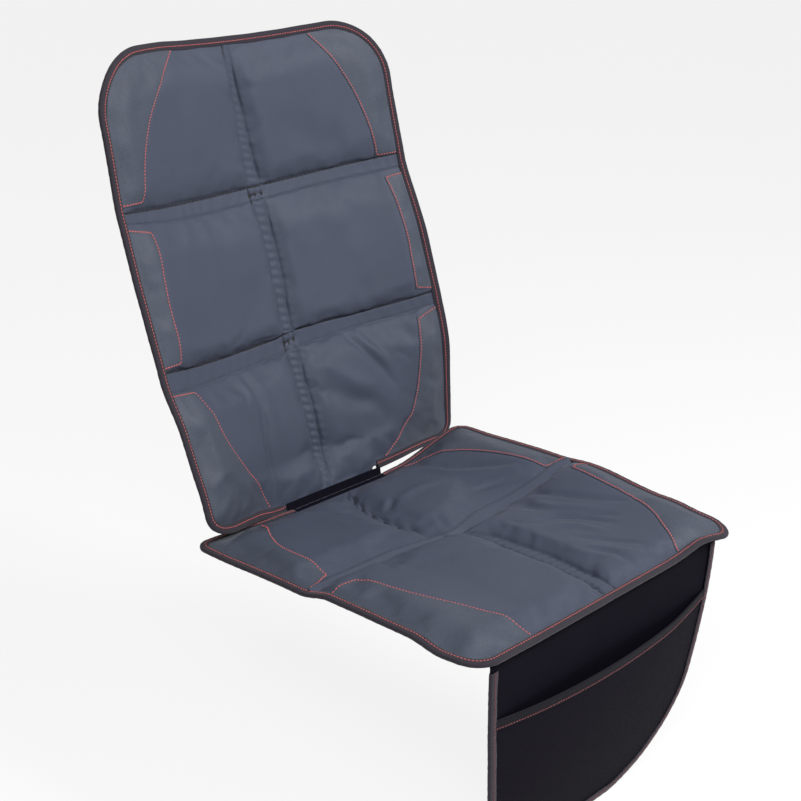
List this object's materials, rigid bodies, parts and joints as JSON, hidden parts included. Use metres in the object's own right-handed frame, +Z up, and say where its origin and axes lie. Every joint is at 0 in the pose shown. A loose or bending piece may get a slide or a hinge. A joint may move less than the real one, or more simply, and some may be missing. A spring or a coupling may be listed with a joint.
{
  "type": "car seat protector mat",
  "caption": "Padded cloth mat that covers a car seat's back and cushion under a child seat, with leatherette corner patches and a hanging front flap with a mesh pocket.",
  "frame": {"origin": "Centre of the flat underside of the seat panel, where the mat lies on the seat cushion.", "axes": "+X across the mat to the right of a person sitting on it, +Y to the rear, where the back panel rises, -Y to the front flap, +Z up."},
  "size_m": [0.4815, 0.637, 0.8529],
  "materials": {
    "oxford_cloth": "dark blue-grey woven cloth, dull",
    "backing_cloth": "black non-slip cloth, dull",
    "leatherette": "grained, slightly greenish grey, low sheen",
    "binding_tape": "ribbed dark tape with a red stitch line",
    "pad_foam": "closed-cell foam",
    "flap_cloth": "near-black smooth cloth",
    "pocket_mesh": "near-black fine mesh",
    "elastic_webbing": "black ribbed elastic"
  },
  "bodies": {
    "root": {"back_backing": "backing_cloth", "back_binding": "binding_tape", "back_face": "oxford_cloth", "back_pad_1_left": "pad_foam", "back_pad_1_right": "pad_foam", "back_pad_2_left": "pad_foam", "back_pad_2_right": "pad_foam", "back_pad_3_left": "pad_foam", "back_pad_3_right": "pad_foam", "back_patch_foot_left": "leatherette", "back_patch_foot_right": "leatherette", "back_patch_head_left": "leatherette", "back_patch_head_right": "leatherette", "back_patch_side_left": "leatherette", "back_patch_side_right": "leatherette", "flap_binding": "binding_tape", "flap_panel": "flap_cloth", "headrest_strap": "elastic_webbing", "joint_gusset": "oxford_cloth", "pocket_hem": "flap_cloth", "pocket_panel": "pocket_mesh", "seat_backing": "backing_cloth", "seat_binding": "binding_tape", "seat_face": "oxford_cloth", "seat_pad_1_left": "pad_foam", "seat_pad_1_right": "pad_foam", "seat_pad_2_left": "pad_foam", "seat_pad_2_right": "pad_foam", "seat_patch_front_left": "leatherette", "seat_patch_front_right": "leatherette", "seat_patch_rear_left": "leatherette", "seat_patch_rear_right": "leatherette"}
  },
  "joints": []
}
